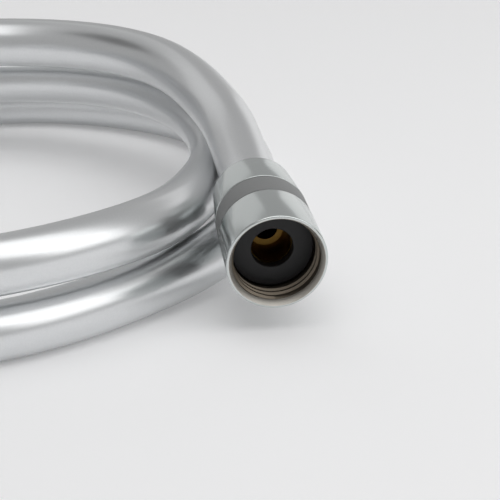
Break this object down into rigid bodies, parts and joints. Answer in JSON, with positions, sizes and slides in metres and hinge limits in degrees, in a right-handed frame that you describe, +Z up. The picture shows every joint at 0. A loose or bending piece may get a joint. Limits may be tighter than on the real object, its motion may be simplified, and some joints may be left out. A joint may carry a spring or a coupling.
{
  "type": "shower hose",
  "caption": "Flexible shower hose in a smooth silver jacket, lying in a loose coil, with a conical swivel nut, sealing washer and barbed insert at each end.",
  "frame": {"origin": "middle of the coil's footprint, on the surface it lies on", "axes": "+Z up; the nuts' mouths face -Y, the near one at +X tilted down, the far one at -X level"},
  "size_m": [0.2098, 0.2144, 0.0419],
  "materials": {
    "hose_jacket": "silver PVC jacket under a clear gloss layer",
    "chrome": "chrome plate on turned brass",
    "grip_band": "matte grey moulded plastic, bare",
    "washer": "black rubber",
    "brass": "turned brass",
    "glide_ring": "white acetal",
    "ferrule": "crimped stainless steel"
  },
  "bodies": {
    "hose_line": {"hose": "hose_jacket", "near_insert": "brass", "near_glide_ring": "glide_ring", "near_ferrule": "ferrule", "far_insert": "brass", "far_glide_ring": "glide_ring", "far_ferrule": "ferrule"},
    "near_swivel_nut": {"near_nut": "chrome", "near_band": "grip_band", "near_tail": "chrome", "near_washer": "washer"},
    "far_swivel_nut": {"far_nut": "chrome", "far_band": "grip_band", "far_tail": "chrome", "far_washer": "washer"}
  },
  "joints": [
    {"name": "near_swivel", "type": "hinge", "parent": "hose_line", "child": "near_swivel_nut", "pos_m": [0.08705, -0.0914, 0.01793], "axis": [0, -0.9903, -0.1392], "continuous": true},
    {"name": "far_swivel", "type": "hinge", "parent": "hose_line", "child": "far_swivel_nut", "pos_m": [-0.093, -0.049, 0.01205], "axis": [0, -1, 0], "continuous": true}
  ]
}
